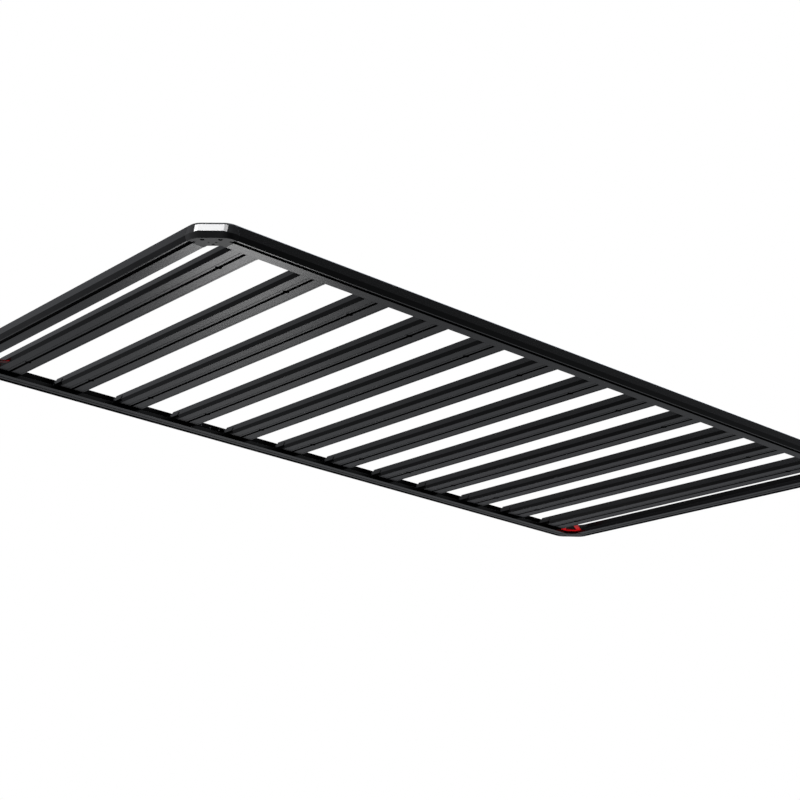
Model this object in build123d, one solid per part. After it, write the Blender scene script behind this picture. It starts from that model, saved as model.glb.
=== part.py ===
from build123d import *
import math
import os

# Flat platform roof rack: four extruded rails, four cast corners and a row of extruded slats.
# X runs across the vehicle, Y along it with the front at minus Y, Z up from the rails' underside.

# Overall size, taken over the widest line of the rails
rack_length = 2534.0
rack_width = 1287.0

# Rail section: u is the distance inwards from the widest line, z the height
rail_height = 42.8
rail_width = 54.7
rail_crease_height = 12.4
rail_bottom_inset = 6.1
rail_round_inset = 7.0
rail_round_height = 36.4
rail_top_inset = 14.8
rail_top_land = 0.8
rail_wall = 2.5
rail_ledge_height = 12.0
rail_step_inset = 34.0
rail_step = 0.8

# Accessory slot in the rail's underside
rail_slot_inset = 16.4
rail_slot_mouth = 12.3
rail_slot_lip = 3.0
rail_slot_channel = 17.0
rail_slot_channel_depth = 5.5

# Corner castings: the chamfers are the legs cut off each side at the bottom, widest line and top
corner_reach = 90.0
corner_bottom_chamfer = 58.7
corner_chamfer = 61.0
corner_top_chamfer = 57.6
corner_round = 38.0
corner_round_steps = 3
corner_inner_chamfer = 22.5
corner_pocket_run = 5.5
corner_pocket_inset = 16.9
corner_pocket_width = 13.2
corner_hook_run = 6.0
corner_hook_width = 5.5
corner_hole_radius = 4.75
corner_hole_depth = 9.0
corner_hole_diagonal = 59.7
corner_hole_spacing = 42.0
corner_pin_radius = 2.3
corner_pin_diagonal = 74.8
corner_pin_spacing = 18.0
corner_screw_radius = 3.4
corner_screw_diagonal = 85.1
corner_screw_depth = 3.0

# Slats: hollow extrusions with a slot in both faces and a marking line in the underside
slat_count = 12
slat_end_margin = 156.0
slat_underside = 9.2
slat_height = 29.4
slat_bottom_width = 75.0
slat_crease_width = 90.0
slat_crease_height = 8.3
slat_top_width = 72.0
slat_wall = 2.2
slat_slot_mouth = 9.3
slat_slot_lip = 2.6
slat_slot_channel = 17.0
slat_slot_channel_depth = 6.0
slat_line_offset = 12.7
slat_line_width = 1.0
slat_line_depth = 0.6
slat_underside_gap = 15.5
slat_entry_offset = 465.0
slat_entry_radius = 9.0
slat_ledge_overlap = 15.0

# Moulded boots that stand on the rail's ledge and hold the ends of the slats
bracket_skin = 1.6
bracket_width = 84.0
bracket_height = 17.4
bracket_thickness = 4.0
bracket_grip = 42.8
bracket_foot = 20.0

# Badge plate bent round the cut of the front right corner
badge_length = 77.0
badge_flat = 60.4
badge_height = 20.7
badge_thickness = 2.4
badge_edge = 0.3
badge_end_gap = 0.3
badge_drop = 1.3

# Bottle openers in the two left corners: leans are degrees inwards of the arm by each rail
opener_thickness = 3.0
opener_height = 9.0
opener_reach = 37.5
opener_bar = 24.7
opener_arm = 17.9
opener_end_lean = 12.5
opener_side_lean = 2.0
opener_slat_gap = 1.0

half_width = rack_width / 2
half_length = rack_length / 2
slat_pitch = (rack_length - 2 * slat_end_margin) / (slat_count - 1)
slat_end = half_width - rail_width + slat_ledge_overlap


def export(shape, node):
    export_step(shape, f"parts/{node}.step")


def t_slot(mouth, lip, channel, channel_depth):
    """T-shaped slot that opens downwards at the local X axis."""
    neck = Pos(0, lip / 2) * Rectangle(mouth, lip)
    return neck + Pos(0, lip + channel_depth / 2) * Rectangle(channel, channel_depth)


def wall_round():
    """Round over the top of the rail's wall, tangent to its outer face, drawn as (u, z)."""
    return TangentArc(
        (rail_round_inset, rail_round_height),
        (rail_top_inset, rail_height),
        tangent=(rail_round_inset, rail_round_height - rail_crease_height),
    )


def rail_section():
    """Section of the rail, drawn as (u, z): a leaning wall with a crease, and a flange with a slot."""
    edge = Polyline(
        (rail_top_inset, rail_height),
        (rail_top_inset + rail_top_land, rail_height),
        (rail_wall, rail_ledge_height),
        (rail_width, rail_ledge_height),
        (rail_width, rail_step),
        (rail_step_inset, rail_step),
        (rail_step_inset, 0),
        (rail_bottom_inset, 0),
        (0, rail_crease_height),
        (rail_round_inset, rail_round_height),
    )
    slot = t_slot(rail_slot_mouth, rail_slot_lip, rail_slot_channel, rail_slot_channel_depth)
    chamber_start = rail_slot_inset + rail_slot_channel / 2 + rail_wall
    chamber = Rectangle(
        rail_width - rail_wall - chamber_start,
        rail_ledge_height - rail_step - 2 * rail_wall,
        align=Align.MIN,
    )
    section = make_face(edge + wall_round()) - Pos(rail_slot_inset, 0) * slot
    return section - Pos(chamber_start, rail_step + rail_wall) * chamber


def rail(length):
    """Rail along the local Y axis, with its widest line on that axis and its flange towards plus X."""
    return extrude(Plane.XZ * rail_section(), amount=length / 2, both=True)


def corner_region(inset, chamfer, radius, z):
    """Plan of all that lies inwards of the cut and rounded corner at height z, in (u, w)."""
    edge = FilletPolyline(
        (inset, half_width),
        (inset, inset + chamfer),
        (inset + chamfer, inset),
        (half_width, inset),
        radius=radius,
    )
    back = Polyline((half_width, inset), (half_width, half_width), (inset, half_width))
    return Pos(0, 0, z) * make_face(edge + back)


def chamfer_at(inset):
    """Leg of the cut corner where its outer face stands that far in from the widest line."""
    return corner_chamfer + (corner_top_chamfer - corner_chamfer) * inset / rail_top_inset


def corner_wall():
    """All that lies inwards of the corner's outer face, from its widest line to its rounded top."""
    curve = wall_round()
    steps = [curve @ (step / corner_round_steps) for step in range(corner_round_steps + 1)]
    levels = [Vector(0, rail_crease_height), *steps]
    return loft([corner_region(p.X, chamfer_at(p.X), corner_round, p.Y) for p in levels], ruled=True)


def corner_cut(profile, diagonal, along, depth):
    """Recess in the underside, at a distance in along the diagonal and a distance across it."""
    middle = Pos((diagonal + along) / 2**0.5, (diagonal - along) / 2**0.5)
    return extrude(middle * profile, amount=depth)


def corner_casting():
    """Casting that carries the rail's walls round the cut corner, in (u, w, z) from the two outer faces."""
    bottom = corner_region(rail_bottom_inset, corner_bottom_chamfer, corner_round, 0)
    widest = corner_region(0, corner_chamfer, corner_round, rail_crease_height)
    well_top_inset = rail_top_inset + rail_top_land
    well_foot_chamfer = corner_chamfer - rail_wall * (2 - 2**0.5)
    well_top_chamfer = corner_top_chamfer - rail_top_land * (2 - 2**0.5)
    well_foot = corner_region(rail_wall, well_foot_chamfer, corner_round - rail_wall, rail_ledge_height)
    well_top = corner_region(well_top_inset, well_top_chamfer, corner_round - rail_top_land, rail_height)
    inner_end = rail_width + corner_inner_chamfer
    plan = Polyline(
        (0, 0),
        (corner_reach, 0),
        (corner_reach, rail_width),
        (inner_end, rail_width),
        (rail_width, inner_end),
        (rail_width, corner_reach),
        (0, corner_reach),
        close=True,
    )
    body = loft([bottom, widest], ruled=True) + corner_wall()
    body = body & extrude(make_face(plan), amount=rail_height)
    body -= loft([well_foot, well_top], ruled=True)
    slot_depth = rail_slot_lip + rail_slot_channel_depth
    pocket = Rectangle(2 * corner_pocket_run, corner_pocket_width)
    hook_side = (corner_pocket_width - corner_hook_width) / 2
    pocket += Pos(-corner_pocket_run, hook_side) * Rectangle(2 * corner_hook_run, corner_hook_width)
    pocket = Pos(corner_reach, corner_pocket_inset) * pocket
    for face in (pocket, mirror(pocket, about=Plane((0, 0, 0), z_dir=(1, -1, 0)))):
        body -= extrude(face, amount=slot_depth)
    hole = Circle(corner_hole_radius)
    pin = RegularPolygon(corner_pin_radius, 6)
    screw = RegularPolygon(corner_screw_radius, 6)
    for sign in (-1, 1):
        body -= corner_cut(hole, corner_hole_diagonal, sign * corner_hole_spacing / 2, corner_hole_depth)
        body -= corner_cut(pin, corner_pin_diagonal, sign * corner_pin_spacing / 2, corner_screw_depth)
    return body - corner_cut(screw, corner_screw_diagonal, 0, corner_screw_depth)


def badge():
    """Plate with two bent ends, flat on the sloping face of the cut corner, in (u, w, z)."""
    low = Vector(corner_chamfer / 2, corner_chamfer / 2, rail_crease_height)
    high_middle = rail_round_inset + chamfer_at(rail_round_inset) / 2
    high = Vector(high_middle, high_middle, rail_round_height)
    across = Vector(1, -1, 0).normalized()
    up = (high - low).normalized()
    middle = (low + high) / 2 - up * badge_drop
    half = badge_length / 2
    face_half = corner_chamfer / 2**0.5 - corner_round * math.tan(math.pi / 8)
    lean = (half - face_half) / corner_round / 2
    seat_half = face_half + corner_round * math.tan(lean / 2)
    end_drop = (half - seat_half) * math.tan(lean) - badge_end_gap
    side = [
        (seat_half, 0),
        (half, -end_drop),
        (half, badge_edge - end_drop),
        (badge_flat / 2, badge_thickness),
    ]
    section = make_face(Polyline(*side, *[(-x, z) for x, z in reversed(side)], close=True))
    plane = Plane(origin=middle, x_dir=across, z_dir=-up)
    return extrude(plane * section, amount=badge_height / 2, both=True)


def opener():
    """C-shaped plate set against the corner's inner walls, its two arms reaching to the end slat."""
    wall = (2 * rail_width + corner_inner_chamfer) / 2**0.5
    half_chamfer = corner_inner_chamfer / 2**0.5
    shoulder = wall + opener_reach - half_chamfer
    mouth_low = wall + opener_bar
    mouth_half = opener_reach - opener_arm
    slat_flare = (slat_crease_width - slat_bottom_width) / slat_crease_height
    slat_side = slat_bottom_width + slat_flare * (opener_height + opener_thickness - slat_underside)
    tip = slat_end_margin - slat_side / 2 - opener_slat_gap
    far = 2 * tip
    end_slope = math.tan(math.radians(opener_end_lean))
    side_slope = math.tan(math.radians(opener_side_lean))
    outer = [
        (-half_chamfer, wall),
        (half_chamfer, wall),
        (opener_reach, shoulder),
        (opener_reach - (far - shoulder) * end_slope, far),
        (-opener_reach + (far - shoulder) * side_slope, far),
        (-opener_reach, shoulder),
    ]
    mouth = [
        (-mouth_half, mouth_low),
        (mouth_half, mouth_low),
        (mouth_half - (far - mouth_low) * end_slope, far),
        (-mouth_half + (far - mouth_low) * side_slope, far),
    ]
    plan = make_face(Polyline(*outer, close=True)) - make_face(Polyline(*mouth, close=True))
    diagonal = Plane(origin=(0, 0, opener_height), x_dir=(1, -1, 0), z_dir=(0, 0, 1))
    plate = extrude(diagonal * plan, amount=opener_thickness)
    beyond = Pos(0, tip + far, opener_height) * Box(4 * far, 2 * far, 4 * opener_thickness)
    return plate - beyond


def place_corner(shape, side, end):
    """Move a piece from (u, w, z) to the corner on that side (plus is right) and end (plus is rear)."""
    if side > 0:
        shape = mirror(shape, about=Plane.YZ)
    if end > 0:
        shape = mirror(shape, about=Plane.XZ)
    return Pos(side * half_width, end * half_length) * shape


def slat_outline():
    """Outer line of the slat's section as (y, z), widest at its crease."""
    half = [
        (slat_bottom_width / 2, 0),
        (slat_crease_width / 2, slat_crease_height),
        (slat_top_width / 2, slat_height),
    ]
    return make_face(Polyline(*half, *[(-y, z) for y, z in reversed(half)], close=True))


def slat_section():
    """Section of the slat as (y, z): two side chambers and a middle one between the two slots."""
    outline = slat_outline()
    slot = t_slot(slat_slot_mouth, slat_slot_lip, slat_slot_channel, slat_slot_channel_depth)
    slot_height = slat_slot_lip + slat_slot_channel_depth
    middle = Pos(0, slat_height / 2)
    core = middle * Rectangle(slat_slot_channel + 2 * slat_wall, slat_height)
    side_chambers = offset(outline, amount=-slat_wall) - core
    middle_chamber = middle * Rectangle(slat_slot_channel, slat_height - 2 * (slot_height + slat_wall))
    line = Pos(-slat_line_offset, slat_line_depth / 2) * Rectangle(slat_line_width, slat_line_depth)
    section = outline - slot - Pos(0, slat_height) * mirror(slot, about=Plane.XZ)
    return section - side_chambers - middle_chamber - line


def slat():
    """Slat across the rack, its underside cut back where the ends rest on the ledges."""
    body = extrude(Plane.YZ * slat_section(), amount=slat_end, both=True)
    ledge = rail_ledge_height - slat_underside
    underside_end = half_width - rail_width - slat_underside_gap
    for side in (-1, 1):
        notch = Box(2 * slat_end, 2 * slat_crease_width, 2 * ledge)
        body -= Pos(side * (underside_end + slat_end), 0, 0) * notch
        entry = Pos(side * slat_entry_offset, 0, 0) * Circle(slat_entry_radius)
        body -= extrude(entry, amount=slat_slot_lip)
    return Pos(0, 0, slat_underside) * body


def slat_bracket(side):
    """Boot on the ledge round the slat's end: a sleeve, an end wall and a foot behind it."""
    seat = (Align.MIN, Align.CENTER, Align.MIN)
    start = slat_end - bracket_grip
    run = bracket_grip + bracket_thickness
    shell = offset(slat_outline(), amount=bracket_skin, kind=Kind.INTERSECTION)
    sleeve = Pos(start, 0, slat_underside) * extrude(Plane.YZ * shell, amount=run)
    band = Box(run, 2 * slat_crease_width, bracket_height, align=seat)
    foot = Box(bracket_thickness + bracket_foot, bracket_width, bracket_thickness, align=seat)
    bracket = sleeve & (Pos(start, 0, rail_ledge_height) * band)
    bracket += Pos(slat_end, 0, rail_ledge_height) * foot
    bracket -= Pos(0, 0, slat_underside) * extrude(Plane.YZ * slat_outline(), amount=slat_end)
    return bracket if side > 0 else mirror(bracket, about=Plane.YZ)


os.makedirs("parts", exist_ok=True)

# Rails, cut square at the castings
long_rail = rail(rack_length - 2 * corner_reach)
short_rail = rail(rack_width - 2 * corner_reach)
export(Pos(-half_width, 0, 0) * long_rail, "left_rail")
export(Pos(half_width, 0, 0) * Rot(0, 0, 180) * long_rail, "right_rail")
export(Pos(0, -half_length, 0) * Rot(0, 0, 90) * short_rail, "front_rail")
export(Pos(0, half_length, 0) * Rot(0, 0, -90) * short_rail, "rear_rail")

# Corner castings, with the badge on one and an opener in each left corner
casting = corner_casting()
for end_name, end in (("front", -1), ("rear", 1)):
    for side_name, side in (("left", -1), ("right", 1)):
        export(place_corner(casting, side, end), f"{end_name}_{side_name}_corner")
    export(place_corner(opener(), -1, end), f"{end_name}_bottle_opener")
export(place_corner(badge(), 1, -1), "badge_plate")

# Slats from front to rear, each with a boot at both ends
slat_shape = slat()
brackets = slat_bracket(-1) + slat_bracket(1)
for number in range(1, slat_count + 1):
    slat_place = Pos(0, (number - (slat_count + 1) / 2) * slat_pitch, 0)
    export(slat_place * slat_shape, f"slat_{number:02d}")
    export(slat_place * brackets, f"slat_{number:02d}_brackets")
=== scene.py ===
import math

import bmesh
import bpy
import numpy as np
from mathutils import Matrix, Vector


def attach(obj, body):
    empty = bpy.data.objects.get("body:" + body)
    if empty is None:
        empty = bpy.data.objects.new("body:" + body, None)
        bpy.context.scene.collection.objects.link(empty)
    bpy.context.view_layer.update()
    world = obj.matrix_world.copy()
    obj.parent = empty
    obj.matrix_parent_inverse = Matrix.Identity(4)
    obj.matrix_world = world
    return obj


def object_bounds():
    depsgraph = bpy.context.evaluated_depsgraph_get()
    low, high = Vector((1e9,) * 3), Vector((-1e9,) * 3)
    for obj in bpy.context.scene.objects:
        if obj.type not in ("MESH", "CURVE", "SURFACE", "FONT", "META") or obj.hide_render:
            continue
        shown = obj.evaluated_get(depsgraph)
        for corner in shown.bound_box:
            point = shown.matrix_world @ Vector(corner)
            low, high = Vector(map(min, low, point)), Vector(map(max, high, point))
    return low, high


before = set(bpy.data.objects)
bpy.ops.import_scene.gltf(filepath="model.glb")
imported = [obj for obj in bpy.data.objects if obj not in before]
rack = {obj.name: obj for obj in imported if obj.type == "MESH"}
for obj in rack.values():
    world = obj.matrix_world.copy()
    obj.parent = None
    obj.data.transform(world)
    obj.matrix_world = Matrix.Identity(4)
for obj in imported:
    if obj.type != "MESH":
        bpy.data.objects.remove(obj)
cad_low, cad_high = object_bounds()

# Rails
# Four hollow aluminium extrusions with a creased outer wall and a bolt slot underneath. They are
# sawn square, powder coated satin black and slipped over tongues on the corner castings.

rail_black = (0.0042, 0.0042, 0.0045, 1.0)
rail_roughness = 0.25
rail_edge_radius = 0.0006
lines_along_x = (2.0, 420.0, 420.0)
lines_along_y = (420.0, 2.0, 420.0)


def feed(tree, socket, value):
    """Link a socket to another one, or set it to a plain value."""
    if isinstance(value, bpy.types.NodeSocket):
        tree.links.new(value, socket)
    else:
        socket.default_value = value


def add_node(tree, kind, **inputs):
    """Add a node; each keyword is an input's name with underscores for spaces."""
    node = tree.nodes.new(kind)
    for name, value in inputs.items():
        feed(tree, node.inputs[name.replace("_", " ")], value)
    return node


def reckon(tree, operation, *terms):
    """Result of a Math node on the terms, each a number or a socket."""
    node = tree.nodes.new("ShaderNodeMath")
    node.operation = operation
    for socket, term in zip(node.inputs, terms):
        feed(tree, socket, term)
    return node.outputs[0]


def new_group(name, inputs, outputs):
    """Empty shader node group with the named sockets, and its two end nodes."""
    group = bpy.data.node_groups.new(name, "ShaderNodeTree")
    for label, kind in inputs:
        group.interface.new_socket(label, in_out="INPUT", socket_type=kind)
    for label, kind in outputs:
        group.interface.new_socket(label, in_out="OUTPUT", socket_type=kind)
    start = group.nodes.new("NodeGroupInput")
    end = group.nodes.new("NodeGroupOutput")
    return group, start.outputs, end.inputs


def powder_coat_group():
    """Powder coat: tone = tone x clouds, roughness = roughness + clouds + peel, height = orange peel."""
    group, given, result = new_group(
        "powder_coat",
        [
            ("Position", "NodeSocketVector"),
            ("Tone", "NodeSocketColor"),
            ("Roughness", "NodeSocketFloat"),
            ("Peel", "NodeSocketFloat"),
            ("Clouds", "NodeSocketFloat"),
        ],
        [
            ("Tone", "NodeSocketColor"),
            ("Roughness", "NodeSocketFloat"),
            ("Height", "NodeSocketFloat"),
        ],
    )
    peel = add_node(
        group, "ShaderNodeTexNoise", Vector=given["Position"], Scale=given["Peel"], Detail=2.0
    ).outputs[0]
    clouds = add_node(
        group, "ShaderNodeTexNoise", Vector=given["Position"], Scale=given["Clouds"], Detail=3.0
    ).outputs[0]
    cloud_swing = reckon(group, "SUBTRACT", clouds, 0.5)
    peel_swing = reckon(group, "SUBTRACT", peel, 0.5)
    shade = reckon(group, "MULTIPLY_ADD", cloud_swing, 1.2, 1.0)
    shade = reckon(group, "MULTIPLY_ADD", peel_swing, 0.5, shade)
    tone = group.nodes.new("ShaderNodeVectorMath")
    tone.operation = "SCALE"
    feed(group, tone.inputs["Vector"], given["Tone"])
    feed(group, tone.inputs["Scale"], shade)
    roughness = reckon(group, "MULTIPLY_ADD", cloud_swing, 0.05, given["Roughness"])
    roughness = reckon(group, "MULTIPLY_ADD", peel_swing, 0.04, roughness)
    feed(group, result["Tone"], tone.outputs[0])
    feed(group, result["Roughness"], roughness)
    feed(group, result["Height"], peel)
    return group


def die_lines_group():
    """Faint lines that an extrusion die draws: noise squeezed along the length and stretched across it."""
    group, given, result = new_group(
        "die_lines",
        [("Position", "NodeSocketVector"), ("Stretch", "NodeSocketVector")],
        [("Lines", "NodeSocketFloat")],
    )
    stretched = group.nodes.new("ShaderNodeVectorMath")
    stretched.operation = "MULTIPLY"
    feed(group, stretched.inputs[0], given["Position"])
    feed(group, stretched.inputs[1], given["Stretch"])
    lines = add_node(
        group, "ShaderNodeTexNoise", Vector=stretched.outputs[0], Scale=1.0, Detail=3.0
    ).outputs[0]
    feed(group, result["Lines"], lines)
    return group


powder_coat = powder_coat_group()
die_lines = die_lines_group()


def new_material(name):
    """Empty node material with its output node."""
    material = bpy.data.materials.new(name)
    material.use_nodes = True
    tree = material.node_tree
    tree.nodes.clear()
    return material, tree, tree.nodes.new("ShaderNodeOutputMaterial").inputs["Surface"]


def object_position(tree):
    """Place on the piece, in metres, in the rack's own frame."""
    return tree.nodes.new("ShaderNodeTexCoord").outputs["Object"]


def place_group(tree, group, **inputs):
    """Add a shared node group with this material's own values."""
    node = tree.nodes.new("ShaderNodeGroup")
    node.node_tree = group
    for name, value in inputs.items():
        feed(tree, node.inputs[name], value)
    return node.outputs


def rounded_normal(tree, radius, height, depth):
    """Normal with the sharp edges rounded to the radius and a relief of the given depth on top."""
    edge = tree.nodes.new("ShaderNodeBevel")
    edge.samples = 6
    edge.inputs["Radius"].default_value = radius
    relief = add_node(
        tree, "ShaderNodeBump", Strength=1.0, Distance=depth, Height=height, Normal=edge.outputs[0]
    )
    return relief.outputs[0]


def coated_extrusion(name, tone, roughness, edge_radius, stretch):
    """Satin coat over a drawn section, with the die's lines running the way that stretch is small."""
    material, tree, surface = new_material(name)
    position = object_position(tree)
    coat = place_group(
        tree, powder_coat, Position=position, Tone=tone, Roughness=roughness, Peel=900.0, Clouds=7.0
    )
    lines = place_group(tree, die_lines, Position=position, Stretch=stretch)["Lines"]
    height = reckon(tree, "MULTIPLY_ADD", lines, 0.7, coat["Height"])
    finish = add_node(
        tree,
        "ShaderNodeBsdfPrincipled",
        Base_Color=coat["Tone"],
        Roughness=coat["Roughness"],
        Normal=rounded_normal(tree, edge_radius, height, 0.00001),
    )
    feed(tree, surface, finish.outputs[0])
    return material


def dress(names, material):
    """Give the named CAD nodes one material."""
    for name in names:
        rack[name].data.materials.clear()
        rack[name].data.materials.append(material)


dress(
    ["left_rail", "right_rail"],
    coated_extrusion("long_rail_coat", rail_black, rail_roughness, rail_edge_radius, lines_along_y),
)
dress(
    ["front_rail", "rear_rail"],
    coated_extrusion("short_rail_coat", rail_black, rail_roughness, rail_edge_radius, lines_along_x),
)

# Corner castings
# Four die-cast aluminium corners, coated like the rails but rougher. Their faces towards the rack's middle
# reflect far less, a painted shade on the inner walls. A stud ends just inside each of the two holes,
# beside three socket screws.

corner_black = (0.0185, 0.0185, 0.0194, 1.0)
corner_roughness = 0.42
corner_edge_radius = 0.0014
oxide_black = (0.020, 0.020, 0.021, 1.0)
oxide_roughness = 0.42
stud_radius = 0.0034
stud_recess = 0.0018
stud_length = 0.0070
stud_bevel = 0.0007
stud_diagonal = 0.0597
stud_spacing = 0.0420
pin_radius = 0.0017
pin_diagonal = 0.0748
pin_spacing = 0.0180
screw_radius = 0.0026
screw_diagonal = 0.0851
screw_face = 0.0009
screw_seat = 0.0030


def corner_places(diagonal, along, z):
    """Points at a distance in from each outer corner and a distance across that diagonal.

    point = corner + diagonal x inward unit vector + along x the unit vector across it."""
    sides = np.array([(-1, -1), (-1, 1), (1, -1), (1, 1)], float)
    outer = sides * np.array([cad_high.x, cad_high.y])
    inward = -sides / math.sqrt(2)
    across = inward * np.array([1, -1])
    flat = outer + diagonal * inward + along * across
    return np.column_stack([flat, np.full(len(flat), z)])


def hexagon_ratio(angle):
    """Distance from a hexagon's middle to its edge over the distance to its flats."""
    sixth = math.pi / 3
    return 1 / np.cos(np.mod(angle, sixth) - sixth / 2)


def turned_pieces(name, rings, places, axis, spokes=36):
    """Closed turned pieces, one at each place, standing along the axis.

    A ring is (radius, height, corners): the radius follows a circle where corners is 0 and a
    hexagon where it is 1. point = place + height x axis + radius x (cos a, sin a) across the axis."""
    radius, height, corners = np.array(rings, float).T
    angle = np.linspace(0, 2 * math.pi, spokes, endpoint=False)
    axis = np.array(axis, float)
    side = np.cross(axis, (0.0, 0.0, 1.0) if abs(axis[2]) < 0.9 else (1.0, 0.0, 0.0))
    side /= np.linalg.norm(side)
    turn = np.cos(angle)[:, None] * side + np.sin(angle)[:, None] * np.cross(axis, side)
    reach = radius[:, None] * (1 + corners[:, None] * (hexagon_ratio(angle) - 1))
    shape = reach[:, :, None] * turn + height[:, None, None] * axis
    return joined_skins(name, np.asarray(places)[:, None, None, :] + shape)


def joined_skins(name, points):
    """One mesh of closed skins, points[skin, ring, spoke], each ring joined to the next and round."""
    skins, rings, spokes, _ = points.shape
    index = np.arange(skins * rings * spokes).reshape(skins, rings, spokes)
    near, far = index[:, :-1], index[:, 1:]
    quads = np.stack([near, np.roll(near, -1, 2), np.roll(far, -1, 2), far], -1)
    mesh = bpy.data.meshes.new(name)
    mesh.from_pydata(points.reshape(-1, 3).tolist(), [], quads.reshape(-1, 4).tolist())
    work = bmesh.new()
    work.from_mesh(mesh)
    bmesh.ops.remove_doubles(work, verts=work.verts, dist=1e-7)
    bmesh.ops.recalc_face_normals(work, faces=work.faces)
    work.to_mesh(mesh)
    work.free()
    mesh.shade_smooth()
    mesh.set_sharp_from_angle(angle=math.radians(32))
    piece = bpy.data.objects.new(name, mesh)
    bpy.context.collection.objects.link(piece)
    return piece


def coated_casting(name, tone, roughness, edge_radius):
    """Satin coat over a die casting: coarser peel than on the rails, with shallow flow marks.

    specular level = 0.5 on faces that look outward, up or down and 0.05 on those that look to the middle,
    which paints shade on the inner walls."""
    material, tree, surface = new_material(name)
    position = object_position(tree)
    coat = place_group(
        tree, powder_coat, Position=position, Tone=tone, Roughness=roughness, Peel=620.0, Clouds=24.0
    )
    flow = add_node(tree, "ShaderNodeTexNoise", Vector=position, Scale=90.0, Detail=2.0, Distortion=1.5)
    height = reckon(tree, "MULTIPLY_ADD", flow.outputs[0], 2.0, coat["Height"])
    outward = tree.nodes.new("ShaderNodeVectorMath")
    outward.operation = "DOT_PRODUCT"
    feed(tree, outward.inputs[0], position)
    feed(tree, outward.inputs[1], tree.nodes.new("ShaderNodeNewGeometry").outputs["Normal"])
    # Faces that look to the rack's middle get a far lower specular level: painted shade on the inner walls.
    outer_face = reckon(tree, "GREATER_THAN", outward.outputs["Value"], -0.3)
    painted_shade_sheen = reckon(tree, "MULTIPLY_ADD", outer_face, 0.45, 0.05)
    finish = add_node(
        tree,
        "ShaderNodeBsdfPrincipled",
        Base_Color=coat["Tone"],
        Roughness=coat["Roughness"],
        Specular_IOR_Level=painted_shade_sheen,
        Normal=rounded_normal(tree, edge_radius, height, 0.00003),
    )
    feed(tree, surface, finish.outputs[0])
    return material


def dark_steel(name, tone, roughness):
    """Blackened steel: speckled oxide over bare metal that shows a little on the high spots."""
    material, tree, surface = new_material(name)
    position = object_position(tree)
    speckle = add_node(tree, "ShaderNodeTexNoise", Vector=position, Scale=2400.0, Detail=3.0).outputs[0]
    coat = place_group(
        tree, powder_coat, Position=position, Tone=tone, Roughness=roughness, Peel=1800.0, Clouds=160.0
    )
    bare = reckon(tree, "MULTIPLY", reckon(tree, "SUBTRACT", speckle, 0.45), 0.8)
    relief = add_node(tree, "ShaderNodeBump", Strength=0.6, Distance=0.00002, Height=speckle)
    finish = add_node(
        tree,
        "ShaderNodeBsdfPrincipled",
        Base_Color=coat["Tone"],
        Metallic=bare,
        Roughness=coat["Roughness"],
        Normal=relief.outputs[0],
    )
    feed(tree, surface, finish.outputs[0])
    return material


corner_names = [f"{end}_{side}_corner" for end in ("front", "rear") for side in ("left", "right")]
dress(corner_names, coated_casting("corner_coat", corner_black, corner_roughness, corner_edge_radius))

black_oxide = dark_steel("black_oxide", oxide_black, oxide_roughness)

stud_rings = [
    (0.0, 0.0, 0),
    (stud_radius - stud_bevel, 0.0, 0),
    (stud_radius, stud_bevel, 0),
    (stud_radius, stud_length, 0),
    (0.0, stud_length, 0),
]
stud_places = np.vstack(
    [corner_places(stud_diagonal, sign * stud_spacing / 2, stud_recess) for sign in (-1, 1)]
)
corner_studs = turned_pieces("corner_studs", stud_rings, stud_places, (0, 0, 1))
corner_studs.data.materials.append(black_oxide)
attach(corner_studs, "root")


def socket_rings(radius, face, seat):
    """Outline of a screw with a hexagon socket, from the socket's floor out to the rim and the seat."""
    key = 0.48 * radius
    floor = face + 0.8 * (seat - face)
    bevel = 0.12 * radius
    return [
        (0.0, floor, 1),
        (key, floor, 1),
        (key, face, 1),
        (radius - bevel, face, 0),
        (radius, face + bevel, 0),
        (radius, seat, 0),
        (0.0, seat, 0),
    ]


pin_places = np.vstack([corner_places(pin_diagonal, sign * pin_spacing / 2, 0.0) for sign in (-1, 1)])
corner_pins = turned_pieces(
    "corner_pins", socket_rings(pin_radius, screw_face, screw_seat), pin_places, (0, 0, 1)
)
corner_screws = turned_pieces(
    "corner_screws",
    socket_rings(screw_radius, screw_face, screw_seat),
    corner_places(screw_diagonal, 0.0, 0.0),
    (0, 0, 1),
)
for piece in (corner_pins, corner_screws):
    piece.data.materials.append(black_oxide)
    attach(piece, "root")

# Badge plate
# A moulded plate bent round the front right corner and glued to its slope, with a plain white face. Its
# faces that look up or down, along its upper and lower edges, are coloured near black.

badge_white = (0.92, 0.92, 0.93, 1.0)
badge_edge_black = (0.006, 0.006, 0.006, 1.0)
badge_roughness = 0.28


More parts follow.
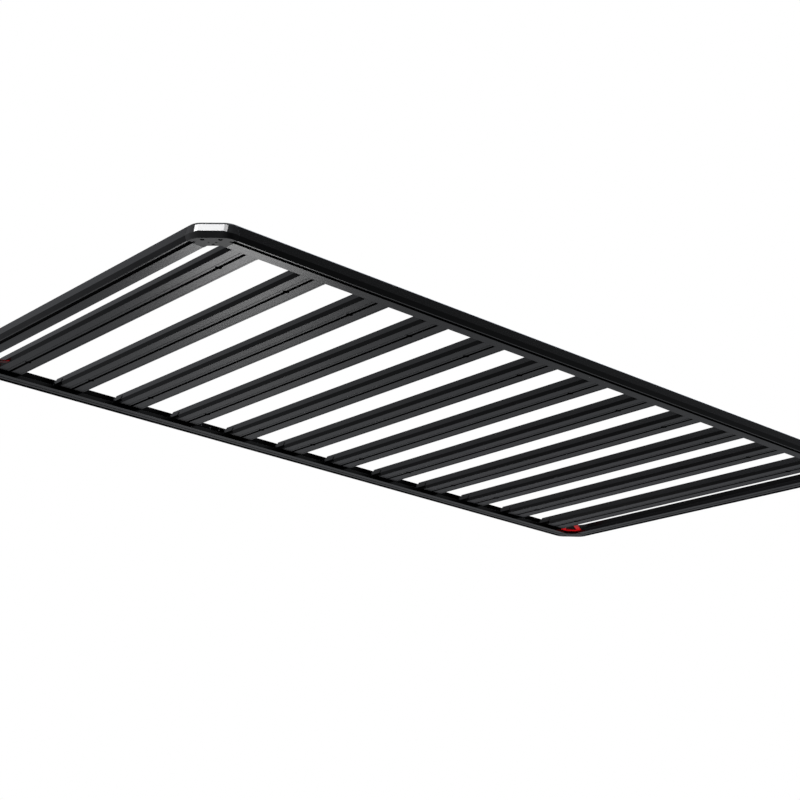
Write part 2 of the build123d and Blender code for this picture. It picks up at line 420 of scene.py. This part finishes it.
def moulded_plate(name, tone, edge_tone, roughness):
    """Glossy plastic with faint sink marks and hair scratches; faces that look up or down are edges."""
    material, tree, surface = new_material(name)
    position = object_position(tree)
    sink = add_node(tree, "ShaderNodeTexNoise", Vector=position, Scale=60.0, Detail=1.0).outputs[0]
    scratch = add_node(
        tree, "ShaderNodeTexNoise", Vector=position, Scale=700.0, Detail=4.0, Distortion=2.0
    ).outputs[0]
    shade = reckon(tree, "MULTIPLY_ADD", reckon(tree, "SUBTRACT", sink, 0.5), 0.03, 1.0)
    facing = tree.nodes.new("ShaderNodeNewGeometry").outputs["Normal"]
    steep = reckon(tree, "ABSOLUTE", add_node(tree, "ShaderNodeSeparateXYZ", Vector=facing).outputs["Z"])
    # Faces that look up or down take the near-black edge tone; the faces looking sideways stay white.
    two_tone = add_node(tree, "ShaderNodeMix")
    two_tone.data_type = "RGBA"
    feed(tree, two_tone.inputs["Factor"], reckon(tree, "GREATER_THAN", steep, 0.6))
    feed(tree, two_tone.inputs[6], tone)
    feed(tree, two_tone.inputs[7], edge_tone)
    colour = tree.nodes.new("ShaderNodeVectorMath")
    colour.operation = "SCALE"
    feed(tree, colour.inputs["Vector"], two_tone.outputs[2])
    feed(tree, colour.inputs["Scale"], shade)
    gloss = reckon(tree, "MULTIPLY_ADD", reckon(tree, "SUBTRACT", scratch, 0.5), 0.12, roughness)
    finish = add_node(
        tree,
        "ShaderNodeBsdfPrincipled",
        Base_Color=colour.outputs[0],
        Roughness=gloss,
        Normal=rounded_normal(tree, 0.0006, sink, 0.00004),
    )
    feed(tree, surface, finish.outputs[0])
    return material


dress(["badge_plate"], moulded_plate("badge_white", badge_white, badge_edge_black, badge_roughness))

# Bottle openers
# A flat steel hook in each left corner, coated glossy red and held under the end slat. A black thumb
# nut stands on the rear rail's ledge beside the rear one.

opener_red = (0.50, 0.004, 0.006, 1.0)
opener_roughness = 0.30
nut_black = (0.006, 0.006, 0.006, 1.0)
nut_roughness = 0.60
nut_radius = 0.0115
nut_height = 0.0150
nut_from_left = 0.1060
nut_from_rear = 0.0380
ledge_height = 0.0120


def gloss_coat(name, tone, roughness):
    """Glossy coat on sheet steel: fine peel, and a duller tone in the clouds."""
    material, tree, surface = new_material(name)
    coat = place_group(
        tree,
        powder_coat,
        Position=object_position(tree),
        Tone=tone,
        Roughness=roughness,
        Peel=1100.0,
        Clouds=45.0,
    )
    finish = add_node(
        tree,
        "ShaderNodeBsdfPrincipled",
        Base_Color=coat["Tone"],
        Roughness=coat["Roughness"],
        Specular_IOR_Level=0.15,
        Normal=rounded_normal(tree, 0.0006, coat["Height"], 0.00002),
    )
    feed(tree, surface, finish.outputs[0])
    return material


dress(["front_bottle_opener", "rear_bottle_opener"], gloss_coat("opener_red", opener_red, opener_roughness))

nut_rings = [
    (0.0, nut_height, 0),
    (0.74 * nut_radius, nut_height, 0),
    (0.94 * nut_radius, 0.94 * nut_height, 0),
    (nut_radius, 0.80 * nut_height, 0),
    (nut_radius, 0.22 * nut_height, 0),
    (0.86 * nut_radius, 0.14 * nut_height, 0),
    (0.86 * nut_radius, 0.0, 0),
    (0.0, 0.0, 0),
]
nut_place = (cad_low.x + nut_from_left, cad_high.y - nut_from_rear, ledge_height)
opener_nut = turned_pieces("opener_nut", nut_rings, [nut_place], (0, 0, 1), 48)
opener_nut.data.materials.append(dark_steel("nut_black", nut_black, nut_roughness))
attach(opener_nut, "root")

# Slats
# Twelve hollow aluminium extrusions with a slot in both faces, powder coated like the rails and
# notched to sit on the rails' ledges. Low lips edge the slot and the sides of their undersides.

slat_black = (0.0026, 0.0026, 0.0028, 1.0)
slat_roughness = 0.25
slat_edge_radius = 0.0007
lip_edge_radius = 0.0001
slot_lip = (0.0047, 0.0098, 0.0002)
side_lip = (0.0320, 0.0374, 0.0004)
lip_end_gap = 0.0705
entry_middle = 0.4650
entry_radius = 0.0090

slat_names = [f"slat_{number:02d}" for number in range(1, 13)]
dress(
    slat_names,
    coated_extrusion("slat_coat", slat_black, slat_roughness, slat_edge_radius, lines_along_x),
)

slat_boxes = np.array([np.array(rack[name].bound_box) for name in slat_names])
slat_middle = (slat_boxes.min(1)[:, 1] + slat_boxes.max(1)[:, 1]) / 2
slat_floor = slat_boxes.min(1)[:, 2]


def slat_bars(name, outline, near, far):
    """Closed bars along every slat, one on each side of its middle line.

    point = (x, middle + side x y, floor + z): (y, z) runs round the outline's four corners and x from
    near to far, each one number or one for every corner."""
    near, far = (np.broadcast_to(np.asarray(end, float), 4) for end in (near, far))
    y, z = np.array(outline, float).T
    x = np.stack([np.full(4, near.mean()), near, far, np.full(4, far.mean())])
    y = np.stack([np.full(4, y.mean()), y, y, np.full(4, y.mean())])
    z = np.stack([np.full(4, z.mean()), z, z, np.full(4, z.mean())])
    side = np.array([-1.0, 1.0])[None, :, None, None]
    y = slat_middle[:, None, None, None] + side * y
    z = slat_floor[:, None, None, None] + z
    return joined_skins(name, np.stack(np.broadcast_arrays(x, y, z), -1).reshape(-1, 4, 4, 3))


def lip_outline(lip):
    """Section of a lip below the slat's floor, given as its inner edge, outer edge and height."""
    inner, outer, height = lip
    return [(inner, 0.0), (outer, 0.0), (outer, -height), (inner, -height)]


lip_end = cad_high.x - lip_end_gap
lip_side = np.array(lip_outline(slot_lip))[:, 0]
entry_reach = np.sqrt(np.maximum(entry_radius**2 - lip_side**2, 0.0))
lip_coat = coated_extrusion("slat_lip_coat", slat_black, slat_roughness, lip_edge_radius, lines_along_x)
lip_pieces = [
    slat_bars("side_lips", lip_outline(side_lip), -lip_end, lip_end),
    slat_bars(
        "slot_lips_middle", lip_outline(slot_lip), entry_reach - entry_middle, entry_middle - entry_reach
    ),
    slat_bars("slot_lips_left", lip_outline(slot_lip), -lip_end, -entry_middle - entry_reach),
    slat_bars("slot_lips_right", lip_outline(slot_lip), entry_middle + entry_reach, lip_end),
]
for piece in lip_pieces:
    piece.data.materials.append(lip_coat)
    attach(piece, "root")

# Slat brackets
# Moulded black boots on the rails' ledges, one round each end of every slat, dull below the slat's crease
# and carrying a painted sheen like the slat's coat above it. Two button-head screws hold each foot, and
# plugs close the slat's hollows.

bracket_black = (0.0010, 0.0010, 0.0011, 1.0)
bracket_painted_sheen_from = 0.0178
bracket_foot_inset = 0.0100
bracket_foot_thickness = 0.0040
button_radius = 0.0042
button_height = 0.0024
button_spacing = 0.0560
plug_outline = [(0.0110, 0.0148), (0.0394, 0.0148), (0.0342, 0.0270), (0.0110, 0.0270)]
plug_inset = 0.0005
plug_thickness = 0.0035


def moulded_black(name, tone, painted_sheen_from):
    """Black moulding with a fine spark-eroded grain, dull below the given height, with a painted sheen like
    the slat's coat above it.

    roughness = 0.70 below and 0.26 above; specular level = 0.05 below and 0.50 above."""
    material, tree, surface = new_material(name)
    position = object_position(tree)
    z = add_node(tree, "ShaderNodeSeparateXYZ", Vector=position).outputs["Z"]
    # Above the given height the slat coat's roughness and specular level paint the slat's sheen onto the
    # boot.
    satin = reckon(tree, "GREATER_THAN", z, painted_sheen_from)
    roughness = reckon(tree, "MULTIPLY_ADD", satin, -0.44, 0.70)
    coat = place_group(
        tree, powder_coat, Position=position, Tone=tone, Roughness=roughness, Peel=2600.0, Clouds=30.0
    )
    finish = add_node(
        tree,
        "ShaderNodeBsdfPrincipled",
        Base_Color=coat["Tone"],
        Roughness=coat["Roughness"],
        Specular_IOR_Level=reckon(tree, "MULTIPLY_ADD", satin, 0.45, 0.05),
        Normal=rounded_normal(tree, 0.0006, coat["Height"], 0.00001),
    )
    feed(tree, surface, finish.outputs[0])
    return material


boot_black = moulded_black("bracket_black", bracket_black, bracket_painted_sheen_from)
bracket_names = [f"{name}_brackets" for name in slat_names]
dress(bracket_names, boot_black)

button_rings = [
    (0.0, 0.5 * button_height, 1),
    (0.30 * button_radius, 0.5 * button_height, 1),
    (0.30 * button_radius, button_height, 1),
    (0.45 * button_radius, button_height, 0),
    (0.78 * button_radius, 0.75 * button_height, 0),
    (0.96 * button_radius, 0.30 * button_height, 0),
    (button_radius, 0.0, 0),
    (0.0, 0.0, 0),
]
bracket_boxes = np.array([np.array(rack[name].bound_box) for name in bracket_names])
foot_middle = (bracket_boxes.min(1)[:, 1] + bracket_boxes.max(1)[:, 1]) / 2
foot_reach = bracket_boxes.max(1)[:, 0] - bracket_foot_inset
foot_top = bracket_boxes.min(1)[:, 2] + bracket_foot_thickness
button_places = np.vstack(
    [
        np.column_stack([side * foot_reach, foot_middle + half * button_spacing / 2, foot_top])
        for side in (-1, 1)
        for half in (-1, 1)
    ]
)
bracket_buttons = turned_pieces("bracket_buttons", button_rings, button_places, (0, 0, 1), 24)
bracket_buttons.data.materials.append(black_oxide)
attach(bracket_buttons, "root")

slat_end = slat_boxes[:, :, 0].max()
plug_outer = slat_end - plug_inset
plug_inner = plug_outer - plug_thickness
plug_pieces = [
    slat_bars("left_plugs", plug_outline, -plug_outer, -plug_inner),
    slat_bars("right_plugs", plug_outline, plug_inner, plug_outer),
]
for piece in plug_pieces:
    piece.data.materials.append(boot_black)
    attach(piece, "root")

# Rail rivets
# Three dome-headed aluminium rivets in a row, left bare. They are set from inside through the left
# rail's leaning wall, between the fourth and the fifth slat.

rivet_grey = (0.42, 0.42, 0.43, 1.0)
rivet_roughness = 0.45
rivet_radius = 0.0026
rivet_height = 0.0012
rivet_level = 0.0330
rivet_first = -0.4160
rivet_pitch = 0.0337
wall_foot = np.array([0.0025, 0.0120])
wall_head = np.array([0.0156, 0.0428])


def bare_aluminium(name, tone, roughness):
    """Drawn aluminium: the metal's own colour with a fine grain in its gloss and relief."""
    material, tree, surface = new_material(name)
    position = object_position(tree)
    grain = add_node(tree, "ShaderNodeTexNoise", Vector=position, Scale=3000.0, Detail=3.0).outputs[0]
    gloss = reckon(tree, "MULTIPLY_ADD", reckon(tree, "SUBTRACT", grain, 0.5), 0.2, roughness)
    relief = add_node(tree, "ShaderNodeBump", Strength=0.4, Distance=0.00001, Height=grain)
    finish = add_node(
        tree,
        "ShaderNodeBsdfPrincipled",
        Base_Color=tone,
        Metallic=1.0,
        Roughness=gloss,
        Normal=relief.outputs[0],
    )
    feed(tree, surface, finish.outputs[0])
    return material


rivet_rings = [
    (0.0, rivet_height, 0),
    (0.40 * rivet_radius, 0.93 * rivet_height, 0),
    (0.75 * rivet_radius, 0.65 * rivet_height, 0),
    (rivet_radius, 0.15 * rivet_height, 0),
    (rivet_radius, 0.0, 0),
    (0.0, 0.0, 0),
]
wall_rise = wall_head - wall_foot
wall_along = wall_rise / np.linalg.norm(wall_rise)
rivet_inset = wall_foot[0] + (rivet_level - wall_foot[1]) * wall_rise[0] / wall_rise[1]
rivet_places = [
    (cad_low.x + rivet_inset, rivet_first + number * rivet_pitch, rivet_level) for number in range(3)
]
rivet_axis = (wall_along[1], 0, -wall_along[0])
rail_rivets = turned_pieces("rail_rivets", rivet_rings, rivet_places, rivet_axis, 24)
rail_rivets.data.materials.append(bare_aluminium("bare_aluminium", rivet_grey, rivet_roughness))
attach(rail_rivets, "root")

# Floor, backdrop and light
# A pale floor well below the rack, and a grey dome with a long strip light that only the rack's
# finish mirrors. A large lamp stands in front, one hangs overhead and casts the shadow, a small one
# glows low behind the left rail and a soft fill hangs below the rear left corner.

floor_height = -2.6
floor_radius = 3.4
floor_fade = (1.6, 3.3)
floor_tone = (0.85, 0.85, 0.85, 1.0)
floor_lift = 0.5
dome_radius = 9.0
dome_tint = (0.975, 1.0, 1.055, 1.0)
strip_tint = (0.95, 1.0, 1.09, 1.0)


def grid_object(name, points):
    """Open or closed sheet over points[row, column]; doubled points are merged."""
    rows, columns, _ = points.shape
    index = np.arange(rows * columns).reshape(rows, columns)
    quads = np.stack([index[:-1, :-1], index[:-1, 1:], index[1:, 1:], index[1:, :-1]], -1)
    mesh = bpy.data.meshes.new(name)
    mesh.from_pydata(points.reshape(-1, 3).tolist(), [], quads.reshape(-1, 4).tolist())
    work = bmesh.new()
    work.from_mesh(mesh)
    bmesh.ops.remove_doubles(work, verts=work.verts, dist=1e-6)
    work.to_mesh(mesh)
    work.free()
    mesh.shade_smooth()
    sheet = bpy.data.objects.new(name, mesh)
    bpy.context.collection.objects.link(sheet)
    return sheet


def disc(radius, height):
    """Flat disc facing up: point = (r cos a, r sin a, height), with a running backwards."""
    r = np.linspace(0, radius, 24)[:, None]
    a = np.linspace(2 * math.pi, 0, 97)[None, :]
    return np.stack(np.broadcast_arrays(r * np.cos(a), r * np.sin(a), height), -1)


def ball(radius):
    """Sphere: point = radius x (cos b cos a, cos b sin a, sin b)."""
    b = np.linspace(-math.pi / 2, math.pi / 2, 33)[:, None]
    a = np.linspace(0, 2 * math.pi, 65)[None, :]
    return radius * np.stack(
        np.broadcast_arrays(np.cos(b) * np.cos(a), np.cos(b) * np.sin(a), np.sin(b)), -1
    )


def seen_rays(tree):
    """1 for camera, glossy and transmission rays, else 0."""
    path = tree.nodes.new("ShaderNodeLightPath").outputs
    sum_of_rays = reckon(tree, "ADD", path["Is Camera Ray"], path["Is Glossy Ray"])
    return reckon(tree, "MINIMUM", reckon(tree, "ADD", sum_of_rays, path["Is Transmission Ray"]), 1.0)


def ranged(tree, value, span, levels):
    """Value carried smoothly from the span to the two levels and held beyond them."""
    node = add_node(
        tree,
        "ShaderNodeMapRange",
        Value=value,
        From_Min=span[0],
        From_Max=span[1],
        To_Min=levels[0],
        To_Max=levels[1],
    )
    node.interpolation_type = "SMOOTHSTEP"
    return node.outputs[0]


def floor_paint():
    """Pale floor that fades to white at its rim and is clear from below."""
    material, tree, surface = new_material("floor_paint")
    seen = seen_rays(tree)
    position = object_position(tree)
    flat = tree.nodes.new("ShaderNodeVectorMath")
    flat.operation = "MULTIPLY"
    feed(tree, flat.inputs[0], position)
    flat.inputs[1].default_value = (1.0, 1.0, 0.0)
    reach = tree.nodes.new("ShaderNodeVectorMath")
    reach.operation = "LENGTH"
    feed(tree, reach.inputs[0], flat.outputs[0])
    rim = ranged(tree, reach.outputs["Value"], floor_fade, (0.0, 1.0))
    paint = add_node(tree, "ShaderNodeBsdfDiffuse", Color=floor_tone)
    lift = add_node(tree, "ShaderNodeEmission", Strength=reckon(tree, "MULTIPLY", seen, floor_lift))
    lit = tree.nodes.new("ShaderNodeAddShader")
    feed(tree, lit.inputs[0], paint.outputs[0])
    feed(tree, lit.inputs[1], lift.outputs[0])
    white = add_node(tree, "ShaderNodeEmission", Strength=seen)
    top = tree.nodes.new("ShaderNodeMixShader")
    feed(tree, top.inputs[0], rim)
    feed(tree, top.inputs[1], lit.outputs[0])
    feed(tree, top.inputs[2], white.outputs[0])
    below = tree.nodes.new("ShaderNodeMixShader")
    feed(tree, below.inputs[0], tree.nodes.new("ShaderNodeNewGeometry").outputs["Backfacing"])
    feed(tree, below.inputs[1], top.outputs[0])
    feed(tree, below.inputs[2], tree.nodes.new("ShaderNodeBsdfTransparent").outputs[0])
    feed(tree, surface, below.outputs[0])
    return material


def slope(tree, direction, steepness, level):
    """Plain gradient over the dome: level + steepness . direction."""
    product = tree.nodes.new("ShaderNodeVectorMath")
    product.operation = "DOT_PRODUCT"
    feed(tree, product.inputs[0], direction)
    product.inputs[1].default_value = steepness
    return reckon(tree, "ADD", product.outputs["Value"], level)


def dome_light():
    """Soft grey all round with a strip light above the rear, both over the direction (x, y, z).

    grey = (low + (high - low) x rise) x fall x crown + side x rise + nadir + zenith and
    strip = right_end x left_end x front_end x foot, where low and high are plain gradients over x and
    y, low is dimmed to the front, and the rest are smooth steps of one axis."""
    material, tree, surface = new_material("dome_light")
    direction = tree.nodes.new("ShaderNodeVectorMath")
    direction.operation = "NORMALIZE"
    feed(tree, direction.inputs[0], object_position(tree))
    heading = direction.outputs[0]
    x, y, z = add_node(tree, "ShaderNodeSeparateXYZ", Vector=heading).outputs
    low = slope(tree, heading, (-0.095, 0.075, 0.0), 0.128)
    low = reckon(tree, "MULTIPLY", low, ranged(tree, y, (-0.68, -0.50), (0.42, 1.0)))
    high = slope(tree, heading, (-0.070, -0.045, 0.0), 0.179)
    rise = ranged(tree, z, (-0.25, 0.10), (0.0, 1.0))
    fall = ranged(tree, z, (-0.85, -0.35), (0.20, 1.06))
    crown = ranged(tree, z, (0.54, 0.75), (1.0, 0.62))
    side = ranged(tree, x, (0.35, 0.70), (0.0, 0.09))
    nadir = ranged(tree, z, (-0.94, -0.81), (0.60, 0.0))
    zenith = ranged(tree, z, (0.88, 0.98), (0.0, 0.40))
    grey = reckon(tree, "MULTIPLY_ADD", reckon(tree, "SUBTRACT", high, low), rise, low)
    grey = reckon(tree, "MULTIPLY", reckon(tree, "MULTIPLY", grey, fall), crown)
    grey = reckon(tree, "MULTIPLY_ADD", side, rise, grey)
    grey = reckon(tree, "ADD", reckon(tree, "ADD", grey, nadir), zenith)
    right_end = ranged(tree, x, (-0.18, 0.08), (1.0, 0.0))
    left_end = ranged(tree, x, (-0.72, -0.45), (0.0, 1.0))
    front_end = ranged(tree, y, (-0.15, 0.35), (0.0, 1.0))
    foot = ranged(tree, z, (0.30, 0.55), (0.0, 2.6))
    strip = reckon(tree, "MULTIPLY", reckon(tree, "MULTIPLY", right_end, left_end), front_end)
    strip = reckon(tree, "MULTIPLY", strip, foot)
    glow = add_node(tree, "ShaderNodeEmission", Color=dome_tint, Strength=grey)
    line = add_node(tree, "ShaderNodeEmission", Color=strip_tint, Strength=strip)
    light = tree.nodes.new("ShaderNodeAddShader")
    feed(tree, light.inputs[0], glow.outputs[0])
    feed(tree, light.inputs[1], line.outputs[0])
    feed(tree, surface, light.outputs[0])
    return material


studio_floor = grid_object("studio_floor", disc(floor_radius, floor_height))
studio_floor.data.materials.append(floor_paint())
studio_floor.visible_glossy = False
studio_floor.visible_diffuse = False
studio_dome = grid_object("studio_dome", ball(dome_radius))
studio_dome.data.materials.append(dome_light())
studio_dome.visible_camera = False
studio_dome.visible_shadow = False
studio_dome.visible_diffuse = False

world = bpy.data.worlds.new("white_room")
world.use_nodes = True
world.node_tree.nodes.clear()
backdrop = add_node(
    world.node_tree, "ShaderNodeBackground", Color=(1.0, 1.0, 1.0, 1.0), Strength=seen_rays(world.node_tree)
)
world_end = world.node_tree.nodes.new("ShaderNodeOutputWorld")
feed(world.node_tree, world_end.inputs["Surface"], backdrop.outputs[0])
bpy.context.scene.world = world


def area_lamp(name, place, aim, size, power, mirrored):
    """Round area lamp at a place, turned to its aim; mirrored says if finishes show it."""
    data = bpy.data.lights.new(name, "AREA")
    data.shape = "DISK"
    data.size = size
    data.energy = power
    lamp = bpy.data.objects.new(name, data)
    bpy.context.collection.objects.link(lamp)
    facing = Vector(place) - Vector(aim)
    lamp.matrix_world = Matrix.Translation(place) @ facing.to_track_quat("Z", "Y").to_matrix().to_4x4()
    lamp.visible_camera = False
    lamp.visible_glossy = mirrored
    return lamp


badge_corner = (cad_high.x, cad_low.y, cad_high.z / 2)
middle = (0.0, 0.0, 0.0)
rear_left = (-0.58, 1.20, 0.0)
front_right = (0.5, -1.1, 0.0)
area_lamp("key", (-0.5, -7.2, 1.6), badge_corner, size=2.2, power=620.0, mirrored=False)
area_lamp("overhead", (0.0, -0.6, 6.0), middle, size=2.0, power=140.0, mirrored=False)
area_lamp("low_glow", (-2.6, 1.0, -2.16), front_right, size=0.78, power=8.6, mirrored=True)
area_lamp("rear_fill", (-0.80, 1.40, -0.55), rear_left, size=0.3, power=4.6, mirrored=False)

# Camera
# It stands well out from the rack's front right corner, below it, and looks up along its underside
# to the rear left. Its place, turn and lens are those of the photo.

camera_place = Vector((3.49124, -3.06780, -1.56129))
camera_right = Vector((0.65309, 0.75621, 0.04026))
camera_down = Vector((-0.22609, 0.24545, -0.94268))
camera_ahead = Vector((-0.72274, 0.60655, 0.33127))

camera_data = bpy.data.cameras.new("view")
camera_data.sensor_width = 36.0
camera_data.lens = 73.391
camera = bpy.data.objects.new("view", camera_data)
bpy.context.collection.objects.link(camera)
camera_turn = Matrix([camera_right, -camera_down, -camera_ahead]).transposed().to_4x4()
camera.matrix_world = Matrix.Translation(camera_place) @ camera_turn
bpy.context.scene.camera = camera
bpy.context.scene.view_settings.view_transform = "Standard"
